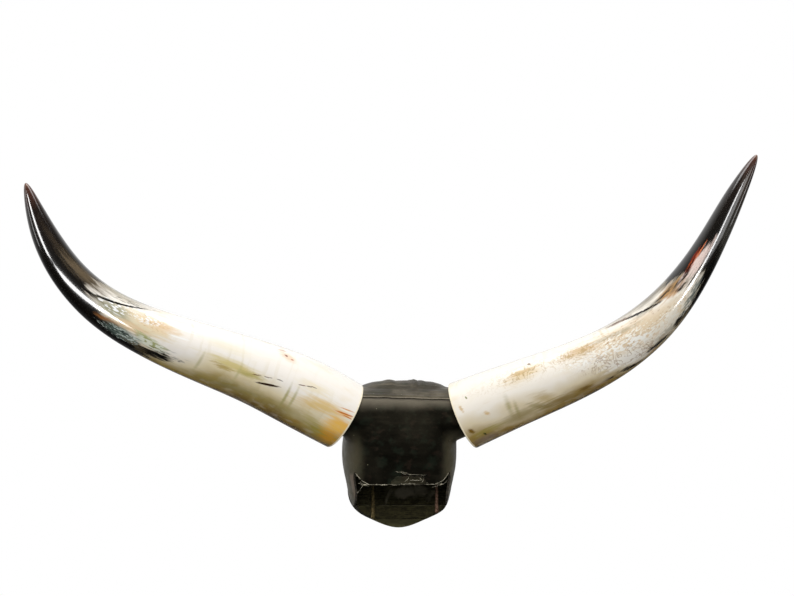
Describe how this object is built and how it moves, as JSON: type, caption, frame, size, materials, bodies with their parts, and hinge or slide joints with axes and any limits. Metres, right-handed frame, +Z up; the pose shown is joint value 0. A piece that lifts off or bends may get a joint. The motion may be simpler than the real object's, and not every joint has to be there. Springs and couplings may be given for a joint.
{
  "type": "mounted bull horns",
  "caption": "Pair of polished bull horns, spread wide and curving up, on a leather-covered head mount with a shield-shaped wooden wall board.",
  "frame": {"origin": "centre of the back board's wall face, midway between the horns' bases", "axes": "+Z up along the wall, +Y from the part into the wall, +X to the right as seen from the front"},
  "size_m": [0.9532, 0.2085, 0.4971],
  "materials": {
    "polished_horn": null,
    "plug_wood": "raw softwood",
    "form_wood": "dark stained wood",
    "cover_leather": "satin black leather",
    "band_leather": "worn black leather",
    "board_wood": "dark olive-brown stained wood",
    "rail_wood": "dark olive-brown stained wood",
    "coppered_steel": "dull copper-coloured metal"
  },
  "bodies": {
    "root": {"left_horn": "polished_horn", "right_horn": "polished_horn", "left_horn_plug": "plug_wood", "right_horn_plug": "plug_wood", "head_form": "form_wood", "leather_cover": "cover_leather", "poll_band": "band_leather", "back_board": "board_wood", "lower_rail": "rail_wood", "left_rod": "coppered_steel", "right_rod": "coppered_steel"}
  },
  "joints": []
}
